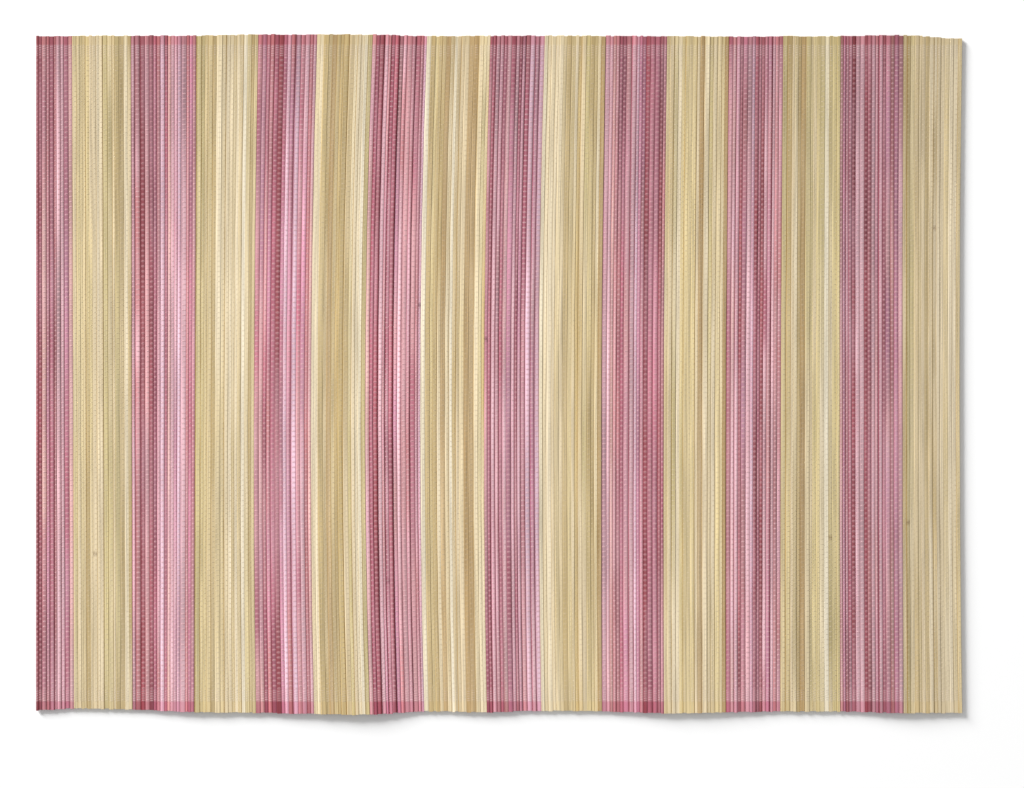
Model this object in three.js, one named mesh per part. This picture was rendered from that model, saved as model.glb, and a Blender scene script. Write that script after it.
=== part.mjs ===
// Bamboo placemat: narrow bamboo splints woven side by side into one flat mat, in sixteen stripes of
// dyed and natural splints. Millimetres, +Z up. The splints run along Y and the stripes follow each
// other along X. The origin is on the surface that the mat lies on, under the middle of the mat.
//
// The mat is one closed solid. Every splint is a rib on the upper face, the ends of the splints make
// the two uneven long edges, and the whole lies in the shallow waves and the sideways bow that it has
// after it was rolled up. Its underside is plain, and three of its stripes lie flat on the surface.

import * as THREE from 'three';

// Driving dimensions
const SPLINT_LENGTH = 328.5;
const MAT_THICKNESS = 1.5; // splint plus the thread over and under it
const GROOVE_DEPTH = 0.4; // how far the valley between two splints lies under their crests
const CREST_SPREAD = 0.15; // how much lower than the others a thin splint may lie
const SHOULDER = 0.2; // where the rounded edge of a splint ends, as a share of its width
const NARROWEST = 0.68; // the narrowest splint, as a share of the usual width in its stripe
const WIDENING = 0.64; // how much wider than that the widest splint is
const END_UNEVENNESS = 0.5; // how much the length of a splint may differ from its neighbour's at an end
const LIFT_TILT = 0.35; // how much more the near end of a wave lifts than its middle, as a share
const QUARTER = SPLINT_LENGTH / 4; // how far from the middle the upper face has a further row of points
const UNDER_STEPS = 5; // facets across the underside of a stripe that is lifted off the surface
const UNDER_INSET = 30; // how far in from the ends of the splints the long facets of the underside stop
const SPLINT_SEED = 7431;

// The mat's left edge, where the first stripe starts. The columns are those of STRIPES.
const LEFT_EDGE = { bow: 0, lean: 0, lift: 0.2, far: 0.1, near: -0.9 };

// The stripes from left to right: the dye, the width in millimetres and the number of splints. The
// other columns are in millimetres too, at the stripe's right edge: how far the middle of a splint is
// bowed along X, how far its far end leans along X against its near end, how high the mat lifts off
// the surface, and how much further than half a splint its far and near ends reach from the middle.
const STRIPES = [
  { dye: 'rose', width: 18.0, splints: 10, bow: 0, lean: -1.0, lift: 0, far: 0.2, near: -1.8 },
  { dye: 'natural', width: 28.5, splints: 16, bow: 0, lean: -0.8, lift: 0, far: 0.3, near: -1.3 },
  { dye: 'rose', width: 31.0, splints: 17, bow: -0.1, lean: 1.0, lift: 0.5, far: 0.3, near: -0.2 },
  { dye: 'natural', width: 30.0, splints: 16, bow: -1.5, lean: 1.2, lift: 0.3, far: 0.8, near: 0.2 },
  { dye: 'rose', width: 28.5, splints: 14, bow: -2.3, lean: 1.5, lift: 0.8, far: 0.8, near: 0.7 },
  { dye: 'natural', width: 27.0, splints: 14, bow: -3.0, lean: 1.4, lift: 1.1, far: 0.7, near: 1.0 },
  { dye: 'rose', width: 26.5, splints: 14, bow: -2.7, lean: 1.3, lift: 0, far: 0.1, near: -0.5 },
  { dye: 'natural', width: 30.5, splints: 16, bow: -2.2, lean: 1.7, lift: 0.3, far: 0.2, near: 0 },
  { dye: 'rose', width: 26.5, splints: 14, bow: -2.1, lean: 1.6, lift: 0, far: 0.3, near: -0.7 },
  { dye: 'natural', width: 29.5, splints: 16, bow: -1.1, lean: 1.8, lift: 0, far: 0.2, near: -0.4 },
  { dye: 'rose', width: 30.0, splints: 16, bow: -0.9, lean: 1.6, lift: 0.6, far: 0, near: 0.4 },
  { dye: 'natural', width: 30.0, splints: 16, bow: -0.7, lean: 1.6, lift: 0.5, far: -0.2, near: 0 },
  { dye: 'rose', width: 26.5, splints: 15, bow: -0.5, lean: 1.5, lift: 0, far: 0, near: -0.4 },
  { dye: 'natural', width: 28.5, splints: 15, bow: -0.5, lean: 0.2, lift: 0, far: 0.1, near: -0.4 },
  { dye: 'rose', width: 30.5, splints: 17, bow: -0.5, lean: 0, lift: 0.7, far: 0.4, near: 0.3 },
  { dye: 'natural', width: 28.5, splints: 15, bow: -1.2, lean: 0, lift: 0.3, far: -1.3, near: 0.2 },
];

const MAT_LENGTH = STRIPES.reduce((sum, stripe) => sum + stripe.width, 0);
const HALF_SPLINT = SPLINT_LENGTH / 2;
const TOP_COLUMNS_PER_SPLINT = 3;

// A fixed run of numbers from 0 to 1, the same each time.
function makeRandom(seed) {
  const factor = 16807;
  const modulus = 2147483647;
  let state = seed;
  return () => {
    state = (state * factor) % modulus;
    return state / modulus;
  };
}

// The rows of the table with the place of each along X.
function sectionRows() {
  let x = -MAT_LENGTH / 2;
  const rows = [{ x, ...LEFT_EDGE }];
  for (const stripe of STRIPES) {
    x += stripe.width;
    rows.push({ ...stripe, x });
  }
  return rows;
}

const SECTIONS = sectionRows();

// A column of the table at any x, on a smooth curve through the rows.
function sectionAt(column, x) {
  const last = SECTIONS.length - 1;
  const right = Math.max(1, SECTIONS.findIndex((row, i) => i === last || row.x >= x));
  const left = right - 1;
  const share = (x - SECTIONS[left].x) / (SECTIONS[right].x - SECTIONS[left].x);
  const before = SECTIONS[Math.max(0, left - 1)][column];
  const start = SECTIONS[left][column];
  const end = SECTIONS[right][column];
  const after = SECTIONS[Math.min(last, right + 1)][column];
  const startSlope = (end - before) / 2;
  const endSlope = (after - start) / 2;
  const bend = 3 * (end - start) - 2 * startSlope - endSlope;
  const twist = startSlope + endSlope - 2 * (end - start);
  return start + share * (startSlope + share * (bend + share * twist));
}

// A point of the mat as it lies: bowed and leaning sideways, and lifted by the waves.
function place(x, y, z) {
  const along = y / HALF_SPLINT;
  const bow = sectionAt('bow', x) * (1 - along * along);
  const lean = (sectionAt('lean', x) / 2) * along;
  const lift = Math.max(0, sectionAt('lift', x)) * (1 - LIFT_TILT * along);
  return [x + bow + lean, y, z + lift];
}

// Every splint with its left side, its width, the height of its crest and the places where it ends.
function layOutSplints() {
  const random = makeRandom(SPLINT_SEED);
  const splints = [];
  let left = -MAT_LENGTH / 2;
  for (const stripe of STRIPES) {
    const shares = Array.from({ length: stripe.splints }, () => NARROWEST + WIDENING * random());
    const total = shares.reduce((sum, share) => sum + share, 0);
    for (const share of shares) {
      const width = (stripe.width * share) / total;
      const middle = left + width / 2;
      splints.push({
        left,
        width,
        crest: MAT_THICKNESS - CREST_SPREAD * random(),
        far: HALF_SPLINT + sectionAt('far', middle) + END_UNEVENNESS * (random() - 0.5),
        near: -HALF_SPLINT - sectionAt('near', middle) - END_UNEVENNESS * (random() - 0.5),
      });
      left += width;
    }
  }
  return splints;
}

// The valleys between the splints, each ending where the shorter of its two neighbours ends.
function layOutValleys(splints) {
  return Array.from({ length: splints.length + 1 }, (_, i) => {
    const before = splints[Math.max(0, i - 1)];
    const after = splints[Math.min(splints.length - 1, i)];
    return {
      x: i < splints.length ? after.left : before.left + before.width,
      far: Math.min(before.far, after.far),
      near: Math.max(before.near, after.near),
    };
  });
}

// The lines of points that run along the upper face: a valley and the two shoulders of each splint.
function layOutTopColumns(splints, valleys) {
  const valleyHeight = MAT_THICKNESS - GROOVE_DEPTH;
  const columns = splints.flatMap((splint, i) => [
    { ...valleys[i], z: valleyHeight },
    { ...splint, x: splint.left + SHOULDER * splint.width, z: splint.crest },
    { ...splint, x: splint.left + (1 - SHOULDER) * splint.width, z: splint.crest },
  ]);
  columns.push({ ...valleys[splints.length], z: valleyHeight });
  return columns;
}

// The valleys under which the long facets of the underside meet: both sides of a stripe that lies
// flat, and a few more between them where the stripe is lifted.
function pickUnderValleys() {
  const picked = [0];
  let first = 0;
  STRIPES.forEach((stripe, i) => {
    const liesFlat = SECTIONS[i].lift === 0 && stripe.lift === 0;
    const steps = liesFlat ? 1 : UNDER_STEPS;
    for (let step = 1; step <= steps; step += 1) {
      picked.push(first + Math.round((stripe.splints * step) / steps));
    }
    first += stripe.splints;
  });
  return picked;
}

// Points and triangles of one closed surface.
class Surface {
  constructor() {
    this.positions = [];
    this.faces = [];
  }

  // A line of points, as their numbers in the surface.
  addLine(points) {
    const first = this.positions.length / 3;
    this.positions.push(...points.flat());
    return points.map((_, i) => first + i);
  }

  // A polygon as a fan round its first corner. Its corners run anticlockwise, seen from outside.
  addPolygon(corners) {
    for (let i = 2; i < corners.length; i += 1) {
      this.faces.push(corners[0], corners[i - 1], corners[i]);
    }
  }

  // The band between two lines with as many points each. It faces up if the nearer line is first.
  addBand(first, second) {
    for (let i = 1; i < first.length; i += 1) {
      this.addPolygon([first[i - 1], first[i], second[i], second[i - 1]]);
    }
  }

  toGeometry() {
    const geometry = new THREE.BufferGeometry();
    geometry.setAttribute('position', new THREE.Float32BufferAttribute(this.positions, 3));
    geometry.setIndex(this.faces);
    geometry.computeVertexNormals();
    return geometry;
  }
}

// The sections of the splints at the near and the far end, one polygon for each splint.
function addEnds(surface, under, top, splintCount) {
  for (let i = 0; i < splintCount; i += 1) {
    const c = i * TOP_COLUMNS_PER_SPLINT;
    const section = (underLine, topLine) => [
      underLine[i],
      underLine[i + 1],
      ...topLine.slice(c, c + TOP_COLUMNS_PER_SPLINT + 1).reverse(),
    ];
    surface.addPolygon(section(under.near, top.near));
    surface.addPolygon(section(under.far, top.far).reverse());
  }
}

// The underside: long facets between the picked valleys, and a fan from these to the splints' ends.
function addUnderside(surface, under, picked) {
  surface.addBand(under.middle, under.nearInset);
  surface.addBand(under.farInset, under.middle);
  for (let p = 1; p < picked.length; p += 1) {
    const nearEnds = under.near.slice(picked[p - 1], picked[p] + 1).reverse();
    const farEnds = under.far.slice(picked[p - 1], picked[p] + 1);
    surface.addPolygon([under.nearInset[p - 1], under.nearInset[p], ...nearEnds]);
    surface.addPolygon([under.farInset[p - 1], ...farEnds, under.farInset[p]]);
  }
}

// The outer sides of the first and the last splint.
function addSides(surface, under, top) {
  const nearHalf = [top.middle, under.middle, under.nearInset, under.near, top.near, top.nearQuarter];
  const farHalf = [top.middle, top.farQuarter, top.far, under.far, under.farInset, under.middle];
  for (const half of [nearHalf, farHalf]) {
    surface.addPolygon(half.map((line) => line[0]));
    surface.addPolygon(half.map((line) => line.at(-1)).reverse());
  }
}

function buildMatGeometry() {
  const splints = layOutSplints();
  const valleys = layOutValleys(splints);
  const topColumns = layOutTopColumns(splints, valleys);
  const picked = pickUnderValleys();
  const surface = new Surface();
  const inset = HALF_SPLINT - UNDER_INSET;

  const top = {
    near: surface.addLine(topColumns.map((column) => place(column.x, column.near, column.z))),
    nearQuarter: surface.addLine(topColumns.map((column) => place(column.x, -QUARTER, column.z))),
    middle: surface.addLine(topColumns.map((column) => place(column.x, 0, column.z))),
    farQuarter: surface.addLine(topColumns.map((column) => place(column.x, QUARTER, column.z))),
    far: surface.addLine(topColumns.map((column) => place(column.x, column.far, column.z))),
  };
  const under = {
    near: surface.addLine(valleys.map((valley) => place(valley.x, valley.near, 0))),
    nearInset: surface.addLine(picked.map((i) => place(valleys[i].x, -inset, 0))),
    middle: surface.addLine(picked.map((i) => place(valleys[i].x, 0, 0))),
    farInset: surface.addLine(picked.map((i) => place(valleys[i].x, inset, 0))),
    far: surface.addLine(valleys.map((valley) => place(valley.x, valley.far, 0))),
  };

  surface.addBand(top.near, top.nearQuarter);
  surface.addBand(top.nearQuarter, top.middle);
  surface.addBand(top.middle, top.farQuarter);
  surface.addBand(top.farQuarter, top.far);
  addUnderside(surface, under, picked);
  addEnds(surface, under, top, splints.length);
  addSides(surface, under, top);

  const geometry = surface.toGeometry();
  geometry.computeBoundingBox();
  const middle = geometry.boundingBox.getCenter(new THREE.Vector3());
  geometry.translate(-middle.x, -middle.y, -geometry.boundingBox.min.z);
  return geometry;
}

const bamboo = new THREE.MeshStandardMaterial({ color: '#cfae8a', roughness: 0.55, metalness: 0 });

const placemat = new THREE.Group();
const mat = new THREE.Mesh(buildMatGeometry(), bamboo);
mat.name = 'mat';
placemat.add(mat);

export default placemat;
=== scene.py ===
import logging
import math
from dataclasses import dataclass, field
from enum import Enum
from typing import Sequence, Union

import bmesh
import bpy
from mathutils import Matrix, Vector


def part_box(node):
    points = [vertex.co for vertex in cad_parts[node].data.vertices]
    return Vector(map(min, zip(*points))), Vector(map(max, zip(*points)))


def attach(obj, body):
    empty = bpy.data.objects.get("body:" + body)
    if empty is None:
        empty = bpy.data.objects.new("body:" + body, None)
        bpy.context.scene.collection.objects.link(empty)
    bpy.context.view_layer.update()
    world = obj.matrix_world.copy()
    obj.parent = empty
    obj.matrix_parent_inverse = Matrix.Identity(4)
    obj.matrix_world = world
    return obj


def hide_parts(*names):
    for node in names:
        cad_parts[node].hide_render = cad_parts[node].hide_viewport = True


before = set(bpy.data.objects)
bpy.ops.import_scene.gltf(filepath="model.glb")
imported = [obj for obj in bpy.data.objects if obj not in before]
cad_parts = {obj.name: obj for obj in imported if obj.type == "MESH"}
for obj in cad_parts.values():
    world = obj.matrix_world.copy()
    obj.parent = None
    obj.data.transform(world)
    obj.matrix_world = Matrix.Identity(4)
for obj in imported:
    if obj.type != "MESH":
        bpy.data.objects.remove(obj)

# A bamboo placemat. Its splints run along Y, side by side along X, in sixteen stripes of dyed and
# natural splints. Fine threads run along X and pass over one splint and under the next.
# Sizes in the tables are in millimetres; MM turns them into the metres of the scene.

MM = 0.001
MAT_NODE = "mat"

log = logging.getLogger("placemat")

Socket = bpy.types.NodeSocket
Node = bpy.types.Node
Tree = bpy.types.NodeTree
Mesh = bpy.types.Mesh
Material = bpy.types.Material
Piece = bpy.types.Object
Feed = Union[float, int, str, bool, tuple, bpy.types.ID, "Term"]
Feeds = Union[Sequence[Feed], dict[str, Feed]]
Colour = tuple[float, float, float]
Facts = dict[str, tuple[str, list]]


class Dye(Enum):
    """The two kinds of splints, each with the name of its finish."""

    ROSE = "rose_bamboo"
    NATURAL = "natural_bamboo"


class Tone(Enum):
    """The colours of single splints, as sRGB red, green and blue from 0 to 1."""

    WINE = (0.60, 0.31, 0.34)
    PLUM = (0.69, 0.41, 0.47)
    DUSK = (0.75, 0.51, 0.52)
    MAUVE = (0.78, 0.55, 0.63)
    ROSE = (0.81, 0.61, 0.62)
    BLOSSOM = (0.84, 0.65, 0.69)
    PINK = (0.87, 0.71, 0.74)
    PEACH = (0.86, 0.69, 0.66)
    LILAC = (0.88, 0.75, 0.81)
    CREAM = (0.88, 0.84, 0.75)
    IVORY = (0.88, 0.82, 0.70)
    STRAW = (0.85, 0.78, 0.64)
    BUTTER = (0.84, 0.765, 0.58)
    BLUSH = (0.83, 0.76, 0.63)
    WHEAT = (0.81, 0.735, 0.57)
    OLIVE = (0.78, 0.715, 0.53)
    GOLD = (0.79, 0.695, 0.49)
    TAN = (0.72, 0.635, 0.46)
    HONEY = (0.68, 0.57, 0.40)


# The tones that the splints of a stripe are drawn from, each as often as it comes.
DECKS: dict[Dye, dict[Tone, int]] = {
    Dye.ROSE: {
        Tone.PLUM: 3, Tone.DUSK: 3, Tone.MAUVE: 3, Tone.ROSE: 3, Tone.BLOSSOM: 2, Tone.PINK: 2,
        Tone.PEACH: 1,
    },
    Dye.NATURAL: {
        Tone.IVORY: 3, Tone.STRAW: 3, Tone.BUTTER: 2, Tone.BLUSH: 1, Tone.WHEAT: 3, Tone.OLIVE: 2,
        Tone.GOLD: 1, Tone.TAN: 2,
    },
}


@dataclass(frozen=True)
class Section:
    """How the mat lies along one line between two stripes, in millimetres.

    bow is how far the middle of a splint is bowed along X, lean how far its far end leans along X
    against its near end, lift how high the mat lifts, and far and near how much further than half a
    splint the ends reach.
    """

    bow: float
    lean: float
    lift: float
    far: float
    near: float


@dataclass(frozen=True)
class Stripe:
    """One stripe: its dye, its width in millimetres, its splints, its shade and its right edge."""

    dye: Dye
    width: float
    splints: int
    shade: float
    right: Section


# Each Section gives its bow, lean, lift, far and near, in that order.
LEFT_EDGE = Section(0, 0, 0.2, 0.1, -0.9)

STRIPES: tuple[Stripe, ...] = (
    Stripe(Dye.ROSE, 18.0, 10, 0.95, Section(0, -1.0, 0, 0.2, -1.8)),
    Stripe(Dye.NATURAL, 28.5, 16, 1.0, Section(0, -0.8, 0, 0.3, -1.3)),
    Stripe(Dye.ROSE, 31.0, 17, 1.0, Section(-0.1, 1.0, 0.5, 0.3, -0.2)),
    Stripe(Dye.NATURAL, 30.0, 16, 0.99, Section(-1.5, 1.2, 0.3, 0.8, 0.2)),
    Stripe(Dye.ROSE, 28.5, 14, 1.01, Section(-2.3, 1.5, 0.8, 0.8, 0.7)),
    Stripe(Dye.NATURAL, 27.0, 14, 1.02, Section(-3.0, 1.4, 1.1, 0.7, 1.0)),
    Stripe(Dye.ROSE, 26.5, 14, 1.04, Section(-2.7, 1.3, 0, 0.1, -0.5)),
    Stripe(Dye.NATURAL, 30.5, 16, 1.04, Section(-2.2, 1.7, 0.3, 0.2, 0)),
    Stripe(Dye.ROSE, 26.5, 14, 0.96, Section(-2.1, 1.6, 0, 0.3, -0.7)),
    Stripe(Dye.NATURAL, 29.5, 16, 1.02, Section(-1.1, 1.8, 0, 0.2, -0.4)),
    Stripe(Dye.ROSE, 30.0, 16, 0.98, Section(-0.9, 1.6, 0.6, 0, 0.4)),
    Stripe(Dye.NATURAL, 30.0, 16, 1.0, Section(-0.7, 1.6, 0.5, -0.2, 0)),
    Stripe(Dye.ROSE, 26.5, 15, 0.97, Section(-0.5, 1.5, 0, 0, -0.4)),
    Stripe(Dye.NATURAL, 28.5, 15, 0.98, Section(-0.5, 0.2, 0, 0.1, -0.4)),
    Stripe(Dye.ROSE, 30.5, 17, 0.9, Section(-0.5, 0, 0.7, 0.4, 0.3)),
    Stripe(Dye.NATURAL, 28.5, 15, 0.95, Section(-1.2, 0, 0.3, -1.3, 0.2)),
)

# Where along X the splints lie that catch the eye, by their tone.
ACCENTS: dict[Tone, tuple[float, ...]] = {
    Tone.WINE: (
        -224.4, -222.9, -173.1, -168.8, -106.0, -57.1, 72.0, 78.8, 117.6, 125.0, 128.0, 172.7, 178.7,
    ),
    Tone.PLUM: (-217.3, -167.0, -161.7, -49.8, -2.7, 2.8, 60.6, 74.3, 76.7, 187.4),
    Tone.PINK: (-213.9, -177.6, -158.7, -153.3, 8.7, 54.2, 65.1, 121.5, 133.3, 174.7, 182.2),
    Tone.PEACH: (-208.0, 55.7, 166.7),
    Tone.LILAC: (-163.5, -155.4, -102.1, -97.8, -36.2, 15.9, 20.3, 67.1, 123.4),
    Tone.CREAM: (-123.4, -64.9, -34.4, -21.2, 22.4, 159.5),
    Tone.TAN: (-183.2, -138.4, -84.4, -28.7, 33.6, 146.0, 208.3),
    Tone.HONEY: (-80.3, -24.9, -13.7, -11.5, 50.0, 98.4, 110.2, 147.9),
}


def linear(colour: Colour) -> tuple[float, float, float, float]:
    """An sRGB colour as linear red, green and blue with full alpha.

    Args:
        colour: red, green and blue from 0 to 1.

    Returns:
        The colour as a node's socket or an attribute takes it.
    """
    knee, slope, offset, power = 0.04045, 12.92, 0.055, 2.4
    parts = [c / slope if c <= knee else ((c + offset) / (1 + offset)) ** power for c in colour]
    return (*parts, 1.0)


class Dice:
    """A fixed run of numbers from 0 to 1, the same each time."""

    FACTOR = 16807
    MODULUS = 2147483647

    def __init__(self, seed: int) -> None:
        """Starts the run at a seed."""
        self.state = seed

    def roll(self) -> float:
        """The next number of the run."""
        self.state = self.state * self.FACTOR % self.MODULUS
        return self.state / self.MODULUS

    def shuffled(self, deck: dict[Tone, int]) -> list[Tone]:
        """The tones of a deck in a random order.

        Args:
            deck: the tones, each with how often it comes.

        Returns:
            Every tone as often as it comes.
        """
        tones = [tone for tone, times in deck.items() for _ in range(times)]
        return sorted(tones, key=lambda tone: self.roll())


@dataclass(frozen=True)
class Splint:
    """One splint as it is laid into the weave, in millimetres, before the mat bows and waves.

    number counts the splints of the whole mat from the left, and tilt, in radians, is how far the
    splint is rolled about its length.
    """

    stripe: int
    middle: float
    width: float
    crest: float
    far: float
    near: float
    lie: Section
    colour: Colour
    other: Colour
    seed: float
    number: int
    tilt: float


@dataclass
class WeavePlan:
    """Lays out every splint of the mat, in millimetres.

    narrowest and widening are the narrowest splint and how much wider the widest is, as shares of
    the usual width. natural_keeps is how often a natural splint takes the tone of the one before,
    tone_spread how much its shade strays, and accent_keeps how much of an accent's tone its other
    tone has.
    """

    splint_length: float = 328.5
    mat_thickness: float = 1.5
    crest_spread: float = 0.15
    narrowest: float = 0.68
    widening: float = 0.64
    end_unevenness: float = 0.5
    splint_seed: int = 7431
    tone_seed: int = 90217
    natural_keeps: float = 0.35
    tone_spread: float = 0.03
    accent_keeps: float = 0.7
    most_tilt: float = math.radians(2.0)

    def __post_init__(self) -> None:
        """Lays the splints out once."""
        self.length = sum(stripe.width for stripe in STRIPES)
        self.half_splint = self.splint_length / 2
        self.edges = [-self.length / 2]
        for stripe in STRIPES:
            self.edges.append(self.edges[-1] + stripe.width)
        self.sections = [LEFT_EDGE, *(stripe.right for stripe in STRIPES)]
        self.splints = self.lay_out()

    def column(self, name: str, x: float) -> float:
        """A column of the sections at any x, on a smooth curve through them.

        Args:
            name: the column, one of Section's fields.
            x: the place along X in millimetres.

        Returns:
            The value there, in millimetres.
        """
        last = len(self.edges) - 1
        right = next((i for i in range(1, last) if self.edges[i] >= x), last)
        left = right - 1
        share = (x - self.edges[left]) / (self.edges[right] - self.edges[left])
        places = (max(0, left - 1), left, right, min(last, right + 1))
        before, start, end, after = (getattr(self.sections[i], name) for i in places)
        start_slope = (end - before) / 2
        end_slope = (after - start) / 2
        bend = 3 * (end - start) - 2 * start_slope - end_slope
        twist = start_slope + end_slope - 2 * (end - start)
        return start + share * (start_slope + share * (bend + share * twist))

    def section(self, x: float) -> Section:
        """How the mat lies at any x, which is in millimetres."""
        names = ("bow", "lean", "lift", "far", "near")
        return Section(**{name: self.column(name, x) for name in names})

    def lay_out(self) -> list[Splint]:
        """Every splint from left to right.

        Returns:
            The splints, with the widths, crests and ends that the solid has.
        """
        dice, tones = Dice(self.splint_seed), Dice(self.tone_seed)
        splints: list[Splint] = []
        for number, stripe in enumerate(STRIPES):
            shares = [self.narrowest + self.widening * dice.roll() for _ in range(stripe.splints)]
            left = self.edges[number]
            colours, others = self.colours(tones, stripe), self.colours(tones, stripe)
            for share, colour, other in zip(shares, colours, others):
                width = stripe.width * share / sum(shares)
                middle = left + width / 2
                lie = self.section(middle)
                for tone, places in ACCENTS.items():
                    if any(abs(at - middle) < width / 2 for at in places):
                        pairs = zip(tone.value, colour)
                        other = tuple(usual + self.accent_keeps * (own - usual) for own, usual in pairs)
                        colour = tone.value
                splints.append(
                    Splint(
                        stripe=number,
                        middle=middle,
                        width=width,
                        crest=self.mat_thickness - self.crest_spread * dice.roll(),
                        far=self.half_splint + lie.far + self.end_unevenness * (dice.roll() - 0.5),
                        near=-self.half_splint - lie.near - self.end_unevenness * (dice.roll() - 0.5),
                        lie=lie,
                        colour=tuple(part * stripe.shade for part in colour),
                        other=tuple(part * stripe.shade for part in other),
                        seed=tones.roll(),
                        number=len(splints),
                        tilt=self.most_tilt * (2 * tones.roll() - 1),
                    )
                )
                left += width
        return splints

    def colours(self, tones: Dice, stripe: Stripe) -> list[Colour]:
        """A colour for each splint of a stripe, before any of them stands out.

        Args:
            tones: the dice for the colours.
            stripe: the stripe.

        Returns:
            Red, green and blue from 0 to 1 for each splint; a natural splint may match the one before.
        """
        deck = tones.shuffled(DECKS[stripe.dye])
        keeps = self.natural_keeps if stripe.dye is Dye.NATURAL else 0.0
        tone = deck[0]
        colours = []
        for following in deck[: stripe.splints]:
            if tones.roll() >= keeps:
                tone = following
            shift = 1 + self.tone_spread * (2 * tones.roll() - 1)
            colours.append(tuple(part * shift for part in tone.value))
        return colours

    def laid(self, x: float, y: float, lie: Section) -> float:
        """Where along X a place of the weave comes to lie once the mat bows and leans."""
        along = y / self.half_splint
        return x + lie.bow * (1 - along * along) + lie.lean / 2 * along

    def shift(self) -> Vector:
        """How far the laid mat moves along X and Y to lie where the solid lies.

        Returns:
            The move in metres.
        """
        xs = [
            self.laid(s.middle + side * s.width / 2, y, s.lie)
            for s in (self.splints[0], self.splints[-1])
            for side in (-1, 1)
            for y in (s.near, 0, s.far)
        ]
        ys = [y for s in self.splints for y in (s.near, s.far)]
        middle = Vector((min(xs) + max(xs), min(ys) + max(ys))) / 2
        low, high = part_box(MAT_NODE)
        return (low + high).to_2d() / 2 - middle * MM


@dataclass(frozen=True)
class Term:
    """The value of a node's output on a bench; each sign that is put to it adds a Math node."""

    bench: "Bench"
    socket: Socket

    def __add__(self, other: Feed) -> "Term":
        """This value and another one."""
        return self.bench.math("ADD", self, other)

    def __sub__(self, other: Feed) -> "Term":
        """This value less another one."""
        return self.bench.math("SUBTRACT", self, other)

    def __rsub__(self, other: float) -> "Term":
        """A plain number less this value."""
        return self.bench.math("SUBTRACT", other, self)

    def __mul__(self, other: Feed) -> "Term":
        """This value times another one."""
        return self.bench.math("MULTIPLY", self, other)

    def __truediv__(self, other: Feed) -> "Term":
        """This value divided by another one."""
        return self.bench.math("DIVIDE", self, other)


class Bench:
    """Adds and joins the nodes of one node tree."""

    def __init__(self, tree: Tree) -> None:
        """Works on a tree."""
        self.tree = tree

    def add(self, kind: str, feeds: Feeds = (), **settings: object) -> Node:
        """Adds a node.

        Args:
            kind: Blender's name for the kind of node.
            feeds: what its inputs take by name, or what its first open ones take in order, with None
                for one that is left as it is.
            settings: properties of the node.

        Returns:
            The node.
        """
        node = self.tree.nodes.new(kind)
        for name, value in settings.items():
            setattr(node, name, value)
        if isinstance(feeds, dict):
            pairs = [(node.inputs[name], value) for name, value in feeds.items()]
        else:
            pairs = zip([s for s in node.inputs if s.enabled], feeds)
        for socket, value in pairs:
            if value is not None:
                self.feed(socket, value)
        return node

    def feed(self, socket: Socket, value: Feed) -> None:
        """Joins an input to a term, or sets it to a plain value.

        Args:
            socket: the input.
            value: the term or the plain value.
        """
        if isinstance(value, Term):
            self.tree.links.new(value.socket, socket)
        else:
            socket.default_value = value

    def outs(self, kind: str, feeds: Feeds = (), **settings: object) -> dict[str, Term]:
        """Adds a node and gives its open outputs by name, with the arguments of add."""
        node = self.add(kind, feeds, **settings)
        return {s.name: Term(self, s) for s in node.outputs if s.enabled}

    def out(self, kind: str, feeds: Feeds = (), **settings: object) -> Term:
        """Adds a node and gives its first open output, with the arguments of add."""
        return next(iter(self.outs(kind, feeds, **settings).values()))

    def math(self, operation: str, first: Feed, second: Feed = 0.0) -> Term:
        """The result of a Math node."""
        return self.out("ShaderNodeMath", (first, second), operation=operation)

    def scale(self, vector: Feed, sizes: Feed) -> Term:
        """A vector with each part multiplied by a size of its own."""
        return self.out("ShaderNodeVectorMath", (vector, sizes), operation="MULTIPLY")

    def plus(self, first: Feed, second: Feed) -> Term:
        """The sum of two vectors."""
        return self.out("ShaderNodeVectorMath", (first, second), operation="ADD")

    def noise(self, place: Feed, scale: float, detail: float, roughness: float) -> dict[str, Term]:
        """Noise at a place, as a value in Fac and as three values in Color."""
        return self.outs("ShaderNodeTexNoise", (place, scale, detail, roughness))

    def spread(self, value: Feed, low: Feed, high: Feed, to_low: Feed, to_high: Feed) -> Term:
        """A value mapped from one range to another, and held inside the second."""
        return self.out("ShaderNodeMapRange", (value, low, high, to_low, to_high))

    def parts(self, vector: Feed) -> list[Term]:
        """The X, Y and Z of a vector."""
        return list(self.outs("ShaderNodeSeparateXYZ", (vector,)).values())

    def vector(self, x: Feed = 0.0, y: Feed = 0.0, z: Feed = 0.0) -> Term:
        """A vector from its three parts."""
        return self.out("ShaderNodeCombineXYZ", (x, y, z))


def floats(sizes: dict[str, float]) -> dict[str, tuple[str, Feed]]:
    """Inputs for interface() that are plain numbers."""
    return {name: ("Float", size) for name, size in sizes.items()}


def interface(tree: Tree, ins: dict[str, tuple[str, Feed]], outs: dict[str, str]) -> None:
    """Gives a tree its named inputs and outputs.

    Args:
        tree: the node tree.
        ins: for each input its kind of socket and its value, or None.
        outs: for each output its kind of socket.
    """
    for name, (kind, value) in ins.items():
        socket = tree.interface.new_socket(name, in_out="INPUT", socket_type=f"NodeSocket{kind}")
        if value is not None:
            socket.default_value = value
    for name, kind in outs.items():
        tree.interface.new_socket(name, in_out="OUTPUT", socket_type=f"NodeSocket{kind}")


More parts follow.
